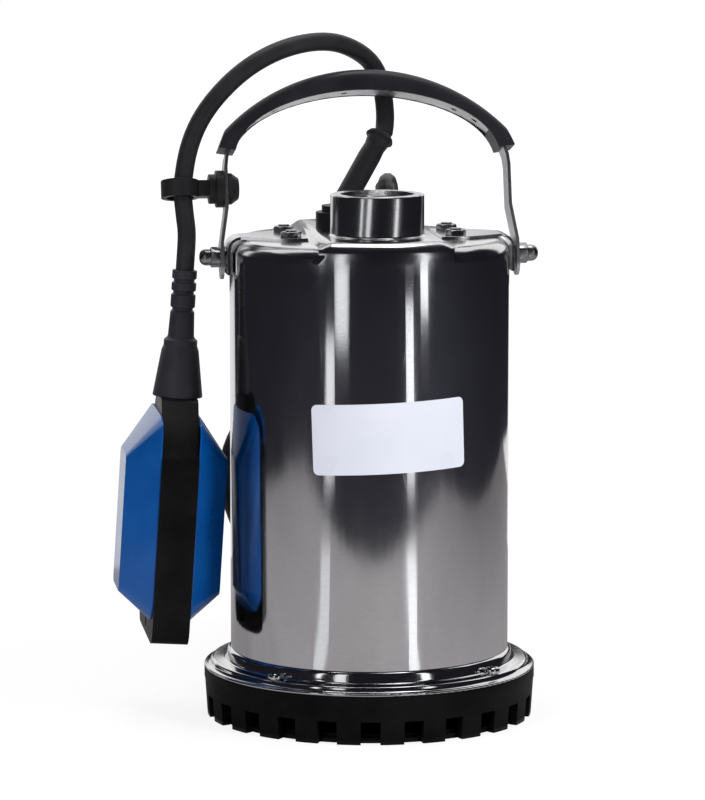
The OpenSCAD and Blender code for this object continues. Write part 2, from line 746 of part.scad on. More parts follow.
module capacitor() {
    color(white) translate([0, spigot_r - capacitor_d / 2 - 7, upper_bearing_z + capacitor_d / 2])
        rotate([0, 90, 0]) union() {
            translate([0, 0, -22]) cylinder(d = capacitor_d, h = 42);
            translate([0, 0, 20]) cylinder(d = capacitor_d - 8, h = 3);
        }
}

module can_seals() {
    r = spigot_r - oring_r + seat / 2;
    color(rubber) for (z = [can_z + 2 + oring_r + 0.1, head_z - 2 - oring_r - 0.1]) translate([0, 0, z])
        rotate_extrude() translate([r, 0]) circle(r = oring_r, $fn = 24);
}

module motor_head() {
    under = flat_z - jacket_wall;
    color(iron) difference() {
        union() {
            translate([0, 0, head_z]) cylinder(r = can_r + 2, h = head_rim);
            translate([0, 0, head_z - spigot_h]) cylinder(r = spigot_r, h = spigot_h + 1);
            at_studs() translate([0, 0, head_z]) cylinder(r = 7, h = under - head_z);
        }
        at_studs() translate([0, 0, flat_z - 14]) cylinder(r = bolt_r + slip, h = 30);
        translate([0, 0, head_z - 2 - 2 * oring_r - 0.2])
            ring_solid(spigot_r + 1, spigot_r - 2 * oring_r, 2 * oring_r + 0.2);
        translate([0, 0, head_z - spigot_h - step_over]) cylinder(r = spigot_r - 4, h = spigot_h);
    }
}

module shaft() {
    top = upper_bearing_z + bearing_w + 1;
    nose_bottom = impeller_z + vane_h - 5 - 6;
    color(dark_steel) {
        rotate_extrude() polygon([[0, nose_bottom], [shaft_nose_r() - 1, nose_bottom],
            [shaft_nose_r(), nose_bottom + 1], [shaft_nose_r(), nose_top],
            [shaft_d / 2, nose_top], [shaft_d / 2, top - 1], [shaft_d / 2 - 1, top], [0, top]]);
    }
}

module rotor_core() {
    color(iron) ring_solid(rotor_d / 2, shaft_d / 2 + slip, stack_h, stack_z);
}

// ---------- glands and sleeves ----------

module float_gland() {
    color(black) difference() {
        union() {
            translate(concat(float_gland_at, head_z + head_rim))
                cylinder(r = float_gland_stem, h = boss_z - head_z - head_rim + 1);
            translate(concat(float_gland_at, boss_z)) cylinder(r = float_gland_r, h = gland_h);
            translate(concat(float_gland_at, boss_z + gland_h - 0.5))
                cylinder(r = float_gland_r - 3.2, h = 4);
        }
        along(sleeve_start, sleeve_dir) cylinder(r = float_cable_d / 2 + 1.3, h = 40);
    }
}

module float_sleeve() {
    r = float_cable_d / 2;
    color(rubber) along(sleeve_start, sleeve_dir) rotate_extrude() polygon([
        [0, 0], [r + 1.2, 0], [r + 1.2, 14], [r + 1.2, sleeve_len - 14],
        [r + 0.8, sleeve_len - 8], [r + 1.6, sleeve_len - 3], [r + 2.4, sleeve_len - 0.6],
        [r + 2, sleeve_len], [0, sleeve_len]]);
}

module power_gland() {
    color(black) difference() {
        union() {
            translate(concat(power_gland_at, head_z + head_rim))
                cylinder(r = power_gland_stem, h = boss_z - head_z - head_rim + 1);
            translate(concat(power_gland_at, boss_z)) cylinder(r = power_gland_r, h = 4.6);
        }
        translate(concat(power_gland_at, boss_z - 4.5)) cylinder(r = power_cord_d / 2 + 3.3, h = 40);
    }
}

module power_sleeve() {
    color(rubber) tube(cord_sleeve, power_cord_d / 2 + 2, 16, power_cord_d / 2 + 1.1);
}

// ---------- handle ----------

module handle_place() {
    translate([0, 0, pivot_z]) rotate([-handle_lean, 0, 0]) children();
}

module strap_rivet_holes(r) {
    for (a = [-52, -40, -8, 8, 40, 52])
        translate([arch_x * sin(a), 0, arm_h + arch_h * cos(a)])
            rotate([0, atan2(arch_h * sin(a), arch_x * cos(a)) , 0])
                translate([0, 0, -4]) cylinder(r = r, h = 8);
}

module handle_strap() {
    color(steel) handle_place() difference() {
        intersection() {
            rotate([90, 0, 0]) linear_extrude(strap_w, center = true)
                polygon(band(strap_path(), strap_t / 2, -strap_t / 2));
            // round feet, seen from the side
            rotate([90, 0, 90]) linear_extrude(4 * arm_x, center = true) union() {
                translate([0, strap_w / 2 - arm_tail]) circle(d = strap_w);
                translate([-strap_w / 2, strap_w / 2 - arm_tail]) square([strap_w, 300]);
            }
        }
        rotate([0, 90, 0]) cylinder(r = bolt_r + slip, h = 4 * arm_x, center = true);
        translate([-arch_x - 5, 0, clip_h]) rotate([0, 90, 0]) cylinder(r = 3.3, h = 10);
        strap_rivet_holes(1.8);
    }
}

// grip: a ring section with a rounded crown, trimmed to the handle's arch
module grip() {
    apex = arm_h + arch_h + grip_crown;
    foot_x = arch_x + grip_end - 0.7;
    // circle through the apex and the two shoulders; below them the ends come in to the feet
    shoulder_x = arch_x - 4.5;
    rise = apex - arm_h - 24.5;
    crown_r = (shoulder_x * shoulder_x + rise * rise) / (2 * rise);
    ends = [[arch_x + 24, arm_h + 28], [arch_x - 0.9, arm_h + 21.5], [foot_x - 1.7, grip_foot_h + 4.5]];
    centre_h = apex - crown_r;
    corner = 6;
    half = grip_w / 2;
    inner = [for (a = [14:4:166]) let (e = pow(abs(cos(a)), 10),
        n = unit([cos(a) / arch_x, sin(a) / arch_h]), d = strap_t / 2 + grip_lip + (grip_end - 1.1) * e)
        [arch_x * cos(a), arm_h + arch_h * sin(a)] - d * n];
    color(black) handle_place() difference() {
        intersection() {
            translate([0, 0, centre_h]) rotate([90, 0, 0]) rotate_extrude($fn = 240) polygon(concat(
                [[40, -half], [crown_r - corner, -half]],
                arc([crown_r - corner, corner - half], corner, -90, 0, 5),
                arc([crown_r - corner, half - corner], corner, 0, 90, 5),
                [[40, half]]));
            rotate([90, 0, 0]) linear_extrude(grip_w + 2, center = true) polygon(concat(
                ends, [[foot_x, grip_foot_h]], inner, [[-foot_x, grip_foot_h]],
                [for (p = flip(ends)) [-p.x, p.y]], [[-arch_x - 24, apex + 20], [arch_x + 24, apex + 20]]));
        }
        // slot for the strap, and below it a channel that is open between the two ends
        rotate([90, 0, 0]) linear_extrude(strap_w + 0.4, center = true) union() {
            polygon(band(strap_path(), strap_t / 2 + 0.15, -strap_t / 2 - 0.15));
            intersection() {
                polygon(band(strap_path(), strap_t / 2 + 6, -strap_t / 2));
                translate([10 - arch_x, arm_h]) square([2 * arch_x - 20, arch_h + 20]);
            }
        }
    }
}

// ---------- cable clip ----------

module clip_place() {
    handle_place() translate([-arch_x, 0, clip_h]) rotate([0, -90, 0]) children();
}

module cable_clip() {
    out = strap_t / 2 + 0.05;
    ring_r = clip_d / 2;
    color(black) clip_place() difference() {
        union() {
            translate([0, 0, out]) cylinder(r = 10, h = 4.4);
            translate([0, 0, out + 4.4]) cylinder(r = 8, h = 3.8);
            translate([0, 0, out + 8]) linear_extrude(clip_reach - ring_r - out - 7.4) square([8.7, 9], center = true);
            translate([0, 0, -6]) cylinder(r = 3.1, h = 7.2);
            translate([-clip_w / 2, 0, clip_reach]) rotate([0, 90, 0]) cylinder(r = ring_r, h = clip_w);
        }
        translate([-clip_w / 2 - 1, 0, clip_reach]) rotate([0, 90, 0])
            cylinder(d = clip_bore, h = clip_w + 2);
        // split in the ring for pressing the cable in
        translate([0, 0, clip_reach + ring_r]) cube([clip_w + 2, 1.6, 8], center = true);
    }
}

module clip_plug() {
    color(black) clip_place() rotate([180, 0, 0]) translate([0, 0, strap_t / 2 + 0.05]) difference() {
        rotate_extrude() polygon([[0, 0], [8.5, 0], [8.5, 2.2], [5.6, 6.2], [0, 6.2]]);
        translate([0, 0, -step_over]) cylinder(r = 3.1 + slip, h = step_over + 5.4);
    }
}

// ---------- float ----------

module float_place() {
    translate(float_pivot) rotate([0, float_tilt, 0]) children();
}

module float_tail() {
    r = float_cable_d / 2;
    color(rubber) float_place() rotate_extrude() polygon(concat(
        [[0, boot_top]], [[r, boot_top]], arc([0, 0], r, 0, 90, 8)));
}

module float_boot() {
    r = float_cable_d / 2 + 1.7;
    g = float_cable_d / 2 + 0.6;
    t = boot_top;
    b = boot_foot;
    color(rubber) float_place() rotate_extrude() polygon([
        [0, t], [r, t], [r, t - 4.6], [g, t - 4.9], [g, t - 6.5], [r, t - 6.8],
        [r, t - 11], [g, t - 11.4], [g, t - 12.8], [r, t - 13.2],
        [r, t - 20], [g, t - 20.4], [g, t - 21.8], [r - 0.2, t - 22.2],
        [r + 0.4, t - 35.5], [r + 3.4, t - 43.5], [neck_w / 2 - 0.4, b], [0, b]]);
}

// outline of the frame in its own plane, with its middle on x = 0
function frame_outline(inset) = let (w = float_w / 2 - inset, c = 9 - inset / 2,
    n = neck_w / 2 - inset * 0.4, b = frame_bottom + inset, top = boot_foot - inset) concat(
    [[n, top], [n + 3, top - 2]],
    flip(arc([w - 12, shoulder_z - 12 - inset / 2], 12, 0, 50, 5)),
    flip(arc([w - c, b + c], c, -90, 0, 5)),
    [for (p = flip(flip(arc([w - c, b + c], c, -90, 0, 5)))) [-p.x, p.y]],
    [for (p = arc([w - 12, shoulder_z - 12 - inset / 2], 12, 0, 50, 5)) [-p.x, p.y]],
    [[-n - 3, top - 2], [-n, top]]);

module frame_plate(inset, t) {
    rotate([90, 0, 90]) linear_extrude(t, center = true) polygon(frame_outline(inset));
}

module float_frame() {
    window = frame_wall + 7;
    color(black) float_place() difference() {
        frame_plate(0, frame_t);
        // room inside, with a rib left below for the eye
        intersection() {
            frame_plate(frame_wall, frame_t + 2);
            translate([-frame_t, -float_w, shell_bottom + 3])
                cube([2 * frame_t, 2 * float_w, shell_top - shell_bottom - 14]);
        }
        translate([0, 0, frame_bottom + 6]) rotate([0, 90, 0]) cylinder(r = 3, h = 40, center = true);
    }
}

// one shell: a rounded dish from the frame out to its flat face
module dish(inset, drop) {
    wide = float_w - 5 - 2 * inset;
    tall = shell_top - shell_bottom - 2 * inset;
    face_w = 36 - inset;
    face_h = tall - 36 + inset;
    mid = (shell_top + shell_bottom) / 2;
    hull() {
        translate([0, 0, mid]) rotate([0, 90, 0]) linear_extrude(0.8)
            rounded_rect(tall, wide, 13);
        translate([shell_out - 0.8 - drop, 0, mid - 5]) rotate([0, 90, 0]) linear_extrude(0.8)
            rounded_rect(face_h, face_w, 4);
    }
}

module rounded_rect(a, b, r) {
    hull() for (x = [-1, 1], y = [-1, 1]) translate([x * (a / 2 - r), y * (b / 2 - r)])
        circle(r = r, $fn = 24);
}

module shell(side) {
    color(blue) float_place() translate([side * frame_t / 2, 0, 0]) scale([side, 1, 1]) difference() {
        dish(0, 0);
        translate([-0.01, 0, 0]) dish(shell_wall, shell_wall);
    }
}

module float_shell_outer() { shell(-1); }
module float_shell_inner() { shell(1); }

module switch_capsule() {
    bore = ball_d / 2 + 0.35;
    r = bore + 1.8;
    foot = capsule_z;
    color(white) float_place() difference() {
        union() {
            translate([0, 0, foot]) cylinder(r = r, h = capsule_h);
            // stem from the boot down to the capsule, and feet to the frame
            translate([0, 0, foot + capsule_h - 0.5]) cylinder(r = 3.4, h = shell_top - 11.2 - foot - capsule_h);
            translate([-2, -float_w / 2 + frame_wall + 0.2, foot + 2]) cube([4, float_w - 2 * frame_wall - 0.4, 6]);
        }
        translate([0, 0, foot + 5]) cylinder(r = bore, h = ball_d + ball_travel + 0.4);
    }
}

module switch_ball() {
    color(dark_steel) float_place() translate([0, 0, capsule_z + 5 + ball_d / 2 + 0.05])
        sphere(d = ball_d, $fn = 48);
}

// ---------- cords ----------

module float_cable() { color(rubber) tube(float_route, float_cable_d / 2); }
module clip_cable() { color(rubber) tube(clip_route, float_cable_d / 2); }
module power_cord_run() { color(rubber) tube(power_route, power_cord_d / 2, 8); }

module power_cord_coil() {
    half = coil_across * power_cord_d / 2;
    color(rubber) translate(concat(coil_at, 0)) rotate_extrude() polygon(concat(
        arc([coil_mid_r + half - 4, 4], 4, -90, 0, 3),
        arc([coil_mid_r + half - 4, coil_top - 4], 4, 0, 90, 3),
        arc([coil_mid_r - half + 4, coil_top - 4], 4, 90, 180, 3),
        arc([coil_mid_r - half + 4, 4], 4, 180, 270, 3)));
}

module plug_lead() { color(rubber) tube(tail_route, power_cord_d / 2, 8); }

module coil_tie() {
    t = 1.2;
    half = coil_across * power_cord_d / 2;
    color(black) translate(concat(coil_at, 0)) rotate([0, 0, 60]) translate([coil_mid_r, 0, 0])
        rotate([90, 0, 0]) linear_extrude(14, center = true) difference() {
            translate([-half - t, 0]) square([2 * half + 2 * t, coil_top + t]);
            translate([-half + 0.2, t]) square([2 * half - 0.4, coil_top - t - 0.2]);
        }
}

module plug_place() {
    translate(plug_at) rotate([0, 0, plug_turn]) rotate([0, 90, 0]) children();
}

module mains_plug() {
    r = plug_d / 2;
    color(black) plug_place() difference() {
        rotate_extrude() polygon(concat([[0, 0], [r, 0], [r, 14]],
            arc([r - 10, 20], 9, 0, 70, 5), [[9, plug_len], [6.6, plug_len + 2],
            [power_cord_d / 2 + 0.6, plug_len + plug_boot_len], [0, plug_len + plug_boot_len]]));
        for (s = [-1, 1]) translate([0, s * pin_pitch / 2, -step_over])
            cylinder(r = pin_d / 2 + slip, h = 12);
        for (s = [-1, 1]) translate([s * (r - 1.4), 0, 8]) cube([3, 6.4, 18], center = true);
    }
}

module plug_pins() {
    color(dark_steel) plug_place() for (s = [-1, 1]) translate([0, s * pin_pitch / 2, 11 - pin_len - 11])
        rotate_extrude() polygon([[0, 0], [pin_d / 2 - 1, 0], [pin_d / 2, 1.2],
            [pin_d / 2, pin_len + 10.8], [0, pin_len + 10.8]]);
}

module plug_earth() {
    color(dark_steel) plug_place() for (s = [-1, 1])
        translate([s * (plug_d / 2 - 2.2), 0, 8]) cube([1.2, 6, 17.4], center = true);
}

// ---------- assembly ----------

jacket();
flange_ring();
outlet_socket();
bracket_left();
bracket_right();
bracket_studs();
bracket_nuts();
pivot_bolts();
pivot_washers();
cap_nuts();
flange_screws();
strainer_base();
bottom_plate();
plate_screws();
diffuser();
seal_plate();
shaft_seal();
motor_can();
stator();
windings();
lower_bearing();
upper_bearing();
upper_bracket();
capacitor();
can_seals();
motor_head();
shaft();
rotor_core();
impeller();
impeller_nut();
float_gland();
float_sleeve();
power_gland();
power_sleeve();
handle_strap();
grip();
cable_clip();
clip_plug();
clip_cable();
float_tail();
float_boot();
float_frame();
float_shell_outer();
float_shell_inner();
switch_capsule();
switch_ball();
float_cable();
power_cord_run();
power_cord_coil();
plug_lead();
coil_tie();
mains_plug();
plug_pins();
plug_earth();
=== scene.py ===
"""Submersible sump pump with a float switch: finishes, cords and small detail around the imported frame."""
import json
from math import cos, pi, radians, sin

import bmesh
import bpy
from mathutils import Matrix, Vector


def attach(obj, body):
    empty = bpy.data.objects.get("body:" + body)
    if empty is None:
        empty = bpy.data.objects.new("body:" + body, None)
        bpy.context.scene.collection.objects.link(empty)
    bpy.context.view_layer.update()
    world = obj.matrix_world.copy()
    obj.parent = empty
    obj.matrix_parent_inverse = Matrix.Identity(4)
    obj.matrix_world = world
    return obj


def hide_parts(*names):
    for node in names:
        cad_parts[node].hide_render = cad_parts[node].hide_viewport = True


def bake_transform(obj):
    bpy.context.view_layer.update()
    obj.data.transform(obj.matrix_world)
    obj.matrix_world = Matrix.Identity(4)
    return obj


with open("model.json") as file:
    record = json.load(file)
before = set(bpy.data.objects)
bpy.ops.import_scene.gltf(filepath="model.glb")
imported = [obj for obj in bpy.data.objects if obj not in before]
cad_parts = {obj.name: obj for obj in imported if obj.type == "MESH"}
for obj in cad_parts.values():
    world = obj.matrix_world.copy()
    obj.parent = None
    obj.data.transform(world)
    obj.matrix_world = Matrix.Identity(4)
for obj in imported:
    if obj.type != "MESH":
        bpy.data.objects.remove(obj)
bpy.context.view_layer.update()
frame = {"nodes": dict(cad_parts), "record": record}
scene = bpy.context.scene
MM = 0.001
FULL_TURN = 2 * pi

# The part's own measures, in millimetres.
JACKET_R = 75.5
BAND_Z = 264.2
CLIP = (-101.5, 9.576, 286.139)
FLOAT_PIVOT = (-97.8, 9.576, 262.139)
FLOAT_TILT = radians(3.7)
BOOT_TOP = -19.5
OUTLET_Y = -30.0
OUTLET_BORE = 19.475
COIL_AT = (17.0, 169.0)
COIL_RADII = (66.0, 58.0, 50.0, 42.0, 34.0)
COIL_LAYERS = 6
LEAD_D = 8.0
FLOAT_CABLE_D = 10.0


# ---------- materials ----------

class Nodes:
    """Short calls for building a node tree."""

    def __init__(self, tree):
        self.tree = tree

    def node(self, kind, **settings):
        made = self.tree.nodes.new(kind)
        for key, value in settings.items():
            setattr(made, key, value)
        return made

    def link(self, start, end):
        self.tree.links.new(start, end)

    def maths(self, operation, first, second):
        """One sum; first and second are sockets or numbers."""
        made = self.node("ShaderNodeMath", operation=operation)
        for value, socket in ((first, made.inputs[0]), (second, made.inputs[1])):
            if isinstance(value, (int, float)):
                socket.default_value = value
            else:
                self.link(value, socket)
        return made.outputs[0]

    def scaled(self, source, factor):
        return self.maths("MULTIPLY", source, factor)

    def spread(self, source, low, high, from_low=0.3, from_high=0.7):
        """The range from_low to from_high of the source, spread from low to high."""
        span = self.node("ShaderNodeMapRange")
        for key, value in (("From Min", from_low), ("From Max", from_high),
                           ("To Min", low), ("To Max", high)):
            span.inputs[key].default_value = value
        self.link(source, span.inputs["Value"])
        return span.outputs["Result"]

    def ramp(self, source, stops):
        """Colours or greys along the source."""
        ramp = self.node("ShaderNodeValToRGB")
        band = ramp.color_ramp
        while len(band.elements) < len(stops):
            band.elements.new(0.5)
        for element, (where, colour) in zip(band.elements, stops):
            element.position = where
            element.color = (*colour, 1) if isinstance(colour, tuple) else (colour,) * 3 + (1,)
        self.link(source, ramp.inputs["Fac"])
        return ramp.outputs["Color"]


class Finish(Nodes):
    """A procedural material on object coordinates."""

    def __init__(self, name, colour, roughness, metallic=0.0, **sockets):
        self.material = bpy.data.materials.new(name)
        self.material.use_nodes = True
        super().__init__(self.material.node_tree)
        self.shader = self.tree.nodes["Principled BSDF"]
        self.set("Base Color", (*colour, 1))
        self.set("Roughness", roughness)
        self.set("Metallic", metallic)
        for socket, value in sockets.items():
            self.set(socket.replace("_", " "), value)
        self.place = self.node("ShaderNodeTexCoord").outputs["Object"]

    def set(self, socket, value):
        self.shader.inputs[socket].default_value = value

    def to(self, socket, source):
        self.link(source, self.shader.inputs[socket])

    def along(self, axis):
        """The place along one axis, 0 to 2 for X to Z, in metres."""
        parts = self.node("ShaderNodeSeparateXYZ")
        self.link(self.place, parts.inputs[0])
        return parts.outputs[axis]

    def noise(self, scale, detail, rough, stretch=(1, 1, 1), distortion=0.0):
        """Noise that is drawn out along an axis where stretch is under 1, and squeezed where it is over 1."""
        mapping = self.node("ShaderNodeMapping")
        mapping.inputs["Scale"].default_value = stretch
        self.link(self.place, mapping.inputs["Vector"])
        noise = self.node("ShaderNodeTexNoise")
        for key, value in (("Scale", scale), ("Detail", detail),
                           ("Roughness", rough), ("Distortion", distortion)):
            noise.inputs[key].default_value = value
        self.link(mapping.outputs["Vector"], noise.inputs["Vector"])
        return noise.outputs["Fac"]

    def bump(self, source, strength, depth):
        bump = self.node("ShaderNodeBump")
        bump.inputs["Strength"].default_value = strength
        bump.inputs["Distance"].default_value = depth
        self.link(source, bump.inputs["Height"])
        self.to("Normal", bump.outputs["Normal"])


DRAWN_OVER = (0.246, 0.257)     # the heights, in metres, between which the jacket turns into its top


def rolled_steel():
    """Mirror-rolled sheet: fine level grain, faint smears, soft dents and a few long scratches."""
    steel = Finish("rolled steel", (0.7, 0.7, 0.71), 0.11, 1.0)
    grain = steel.noise(260, 3, 0.6, (1, 1, 14))
    smears = steel.noise(20, 5, 0.65, (1, 1, 0.55), 0.6)
    rubbed = steel.noise(55, 4, 0.7, (1, 1, 0.08))
    dents = steel.noise(11, 1.5, 0.45, (1, 1, 0.8))
    scratches = steel.ramp(steel.noise(38, 1, 0.4, (1, 1, 0.22), 2.4),
                           [(0.492, 0.0), (0.5, 1.0), (0.508, 0.0)])

    handled = steel.maths("ADD", steel.spread(smears, 0.06, 0.10), steel.spread(rubbed, 0.0, 0.03))
    drawn = steel.spread(steel.along(2), 0, 0.09, *DRAWN_OVER)     # duller where the sheet is drawn over
    steel.to("Roughness", steel.maths("ADD", handled, drawn))

    mottle = steel.maths("ADD", steel.scaled(smears, 0.6), steel.scaled(grain, 0.4))
    steel.to("Base Color", steel.ramp(mottle, [(0.34, (0.60, 0.60, 0.61)), (0.66, (0.77, 0.77, 0.78))]))

    relief = steel.maths("ADD", steel.scaled(grain, 0.009), steel.scaled(dents, 1.5))
    steel.bump(steel.maths("SUBTRACT", relief, steel.scaled(scratches, 0.012)), 0.25, 0.0009)
    return steel.material


def turned_metal(name, tint, low, high):
    """Turned or drawn metal: fine grain and a little wear; low and high are its roughness."""
    metal = Finish(name, tint, high, 1.0)
    grain = metal.noise(700, 2, 0.6, (1, 1, 0.2))
    wear = metal.noise(60, 4, 0.6)
    metal.to("Roughness", metal.spread(wear, low, high))
    metal.to("Base Color", metal.ramp(wear, [(0.3, tuple(0.85 * c for c in tint)), (0.75, tint)]))
    metal.bump(grain, 0.08, 0.0002)
    return metal.material


def moulded(name, colour, low, high, grain_scale=1400, depth=0.00012, specular=0.16, skin=0.0):
    """Moulded plastic: fine pitted grain and slow changes of gloss, under a glossy skin where it has one."""
    plastic = Finish(name, colour, high, Specular_IOR_Level=specular, Coat_Weight=skin, Coat_Roughness=0.14)
    wear = plastic.noise(35, 4, 0.6)
    grain = plastic.noise(grain_scale, 2, 0.5)
    plastic.to("Roughness", plastic.spread(wear, low, high))
    lighter = tuple(min(1, c * 1.35 + 0.004) for c in colour)
    plastic.to("Base Color", plastic.ramp(wear, [(0.35, colour), (0.75, lighter)]))
    plastic.bump(grain, 0.35, depth)
    return plastic.material


def label_film():
    """Film with nothing printed on it: pale, slightly cloudy and a little uneven."""
    film = Finish("label film", (0.66, 0.68, 0.76), 0.3, Specular_IOR_Level=0.3)
    cloud = film.noise(24, 2, 0.5)
    film.to("Base Color", film.ramp(cloud, [(0.3, (0.63, 0.65, 0.74)), (0.7, (0.69, 0.71, 0.79))]))
    film.to("Roughness", film.spread(cloud, 0.26, 0.4))
    film.bump(film.noise(60, 2, 0.5), 0.15, 0.0002)
    return film.material


def cast(name, colour):
    """Sand-cast iron, rough and grainy."""
    iron = Finish(name, colour, 0.6, 0.85)
    grain = iron.noise(420, 4, 0.65)
    iron.to("Roughness", iron.spread(grain, 0.45, 0.75))
    iron.to("Base Color", iron.ramp(grain, [(0.3, tuple(0.6 * c for c in colour)), (0.7, colour)]))
    iron.bump(grain, 0.5, 0.0004)
    return iron.material


STEEL = rolled_steel()
STRAP_STEEL = turned_metal("strap steel", (0.74, 0.74, 0.74), 0.34, 0.5)
BOLT_STEEL = turned_metal("bolt steel", (0.42, 0.42, 0.43), 0.16, 0.34)
BASE_PLASTIC = moulded("base plastic", (0.0024, 0.0022, 0.0028), 0.34, 0.5, specular=0.07)
CLIP_PLASTIC = moulded("clip plastic", (0.009, 0.009, 0.010), 0.34, 0.48, specular=0.3)
RUBBER = moulded("cable rubber", (0.014, 0.0135, 0.016), 0.40, 0.56, 1800, 0.0001, 0.34)
GRIP_RUBBER = moulded("grip rubber", (0.010, 0.010, 0.013), 0.36, 0.5, 1500, 0.00012, 0.3)
BOOT_RUBBER = moulded("boot rubber", (0.019, 0.018, 0.023), 0.36, 0.5, 1500, 0.0001, 0.35)
FRAME_PLASTIC = moulded("frame plastic", (0.0026, 0.0026, 0.003), 0.3, 0.42, specular=0.12)
FLOAT_BLUE = moulded("float blue", (0.0, 0.060, 0.25), 0.26, 0.38, 1300, 0.0001, 0.05, 0.8)
WHITE_PLASTIC = moulded("white plastic", (0.7, 0.7, 0.68), 0.35, 0.5)
IRON = cast("cast iron", (0.30, 0.30, 0.31))
CORE_IRON = cast("core iron", (0.22, 0.21, 0.21))
COPPER = turned_metal("varnished copper", (0.62, 0.28, 0.12), 0.3, 0.5)
PLATED_BRASS = turned_metal("plated brass", (0.68, 0.66, 0.6), 0.15, 0.3)
LABEL_FILM = label_film()

NODE_FINISH = {
    STEEL: ["jacket", "flange_ring", "flange_screws", "outlet_socket", "bracket_left", "bracket_right",
            "motor_can"],
    STRAP_STEEL: ["handle_strap"],
    BOLT_STEEL: ["cap_nuts", "bracket_studs", "bracket_nuts", "pivot_bolts", "pivot_washers",
                 "plate_screws", "shaft_seal", "lower_bearing", "upper_bearing", "shaft",
                 "impeller_nut", "switch_ball"],
    BASE_PLASTIC: ["strainer_base", "bottom_plate", "diffuser", "impeller"],
    CLIP_PLASTIC: ["float_gland", "power_gland", "cable_clip", "clip_plug", "mains_plug", "coil_tie"],
    RUBBER: ["float_sleeve", "power_sleeve", "clip_cable", "float_tail", "float_cable",
             "power_cord_run", "power_cord_coil", "plug_lead", "can_seals"],
    GRIP_RUBBER: ["grip"],
    BOOT_RUBBER: ["float_boot"],
    FRAME_PLASTIC: ["float_frame"],
    FLOAT_BLUE: ["float_shell_outer", "float_shell_inner"],
    WHITE_PLASTIC: ["capacitor", "switch_capsule"],
    IRON: ["seal_plate", "upper_bracket", "motor_head"],
    CORE_IRON: ["stator", "rotor_core"],
    COPPER: ["windings"],
    PLATED_BRASS: ["plug_pins", "plug_earth"],
}
FINISH_OF = {node: finish for finish, nodes in NODE_FINISH.items() for node in nodes}
BODY_OF = {node: body for body, nodes in frame["record"]["behaviour"]["bodies"].items() for node in nodes}


# ---------- camera and lamps ----------

# In metres and degrees. Azimuths are counted from the front, positive to the right.
CAMERA_AZIMUTH = -8
CAMERA_DISTANCE, CAMERA_HEIGHT = 2.24, 0.484
CAMERA_DOWN, CAMERA_ASIDE = 7.945, 0.233
LENS, SENSOR = 213.1, 36     # millimetres

LAMP_TARGET = (0, 0, 0.2)
LAMPS = {  # lamp: (place, width and height, watts, whether the steel mirrors it)
    "soft_left": ((-1.5, -1.5, 1.5), (0.5, 0.9), 17, False),
    "soft_right": ((1.5, -1.5, 1.3), (0.45, 0.9), 32, False),
    "soft_top": ((0.1, 0.3, 2.2), (1.2, 0.8), 14, True),
}


def round_place(azimuth_deg, distance, height=0.0):
    """A place round the object."""
    a = radians(azimuth_deg)
    return Vector((sin(a) * distance, -cos(a) * distance, height))


def add_camera():
    """A long lens, a little above the object and to the left of its front."""
    lens = bpy.data.cameras.new("camera")
    lens.lens = LENS
    lens.sensor_width = SENSOR
    lens.sensor_fit = "HORIZONTAL"
    lens.clip_end = 20
    view = bpy.data.objects.new("camera", lens)
    view.location = round_place(CAMERA_AZIMUTH, CAMERA_DISTANCE, CAMERA_HEIGHT)
    view.rotation_euler = (radians(90 - CAMERA_DOWN), 0, radians(CAMERA_AZIMUTH) + radians(CAMERA_ASIDE))
    scene.collection.objects.link(view)
    scene.camera = view


def add_lamps():
    """Soft area lamps, out of the camera's sight."""
    for name, (place, size, watts, mirrored) in LAMPS.items():
        lamp = bpy.data.lights.new(name, "AREA")
        lamp.shape = "RECTANGLE"
        lamp.size, lamp.size_y = size
        lamp.energy = watts
        holder = bpy.data.objects.new(name, lamp)
        holder.location = place
        holder.rotation_euler = (Vector(LAMP_TARGET) - Vector(place)).to_track_quat("-Z", "Y").to_euler()
        holder.visible_camera = False
        holder.visible_glossy = mirrored
        scene.collection.objects.link(holder)


# ---------- the studio ----------

# The polished jacket shows its surroundings, so it stands in a room of its own, which only
# reflections show: a shaded table top, dark floor beyond its edge, dark walls and lit panels.
# All in metres; the sheets on the floor lie a little above each other.
TABLE_LEVEL, DARK_LEVEL, BRIGHT_LEVEL, STRIP_LEVEL = 0.002, 0.004, 0.006, 0.007
FLOOR = [(-8, -8), (8, -8), (8, 8), (-8, 8)]
TABLE_TOP = [(-1.2, -1.2), (1.2, -1.2), (1.2, 0.7), (-1.2, 0.7)]
BRIGHT_BACK = [(-0.35, 0.45), (0.3, 0.45), (1.4, 5), (-1.9, 5)]
DARK_FLOOR = {  # sheet: the edge towards the object, the corners far outside
    "dark_front": ([(0.85, -0.57), (0.67, -0.56), (0.47, -0.63), (0.18, -0.63), (-0.04, -0.59),
                    (-0.29, -0.58), (-0.4, -0.57), (-0.7, -0.55), (-0.86, -0.47), (-1.2, -0.47)],
                   [(-6, -0.47), (-6, -6), (6, -6), (6, -0.57)]),
    "dark_right": ([(0.68, -0.57), (0.75, -0.37), (0.76, -0.14), (0.8, 0.13), (0.82, 0.39), (0.8, 0.64),
                    (0.5, 0.95), (0.6, 1.5), (1.4, 5), (1.5, 6)],
                   [(6, 6), (6, -0.57)]),
    "dark_left": ([(-0.86, -0.47), (-0.92, -0.26), (-0.88, -0.03), (-0.84, 0.14), (-0.84, 0.4),
                   (-0.78, 0.64), (-0.5, 0.95), (-0.6, 1.5), (-1.9, 5), (-2, 6)],
                  [(-6, 6), (-6, -0.47)]),
}
DARK_WALLS = {  # sheet: (foot, other foot, height)
    "dark_wall_front": ((-6, -4), (6, -4), 4),
    "dark_wall_back": ((-3, 2), (3, 2), 0.45),
    "dark_wall_left": ((-4, -6), (-4, 3), 4),
    "dark_wall_right": ((4, -6), (4, 3), 4),
}
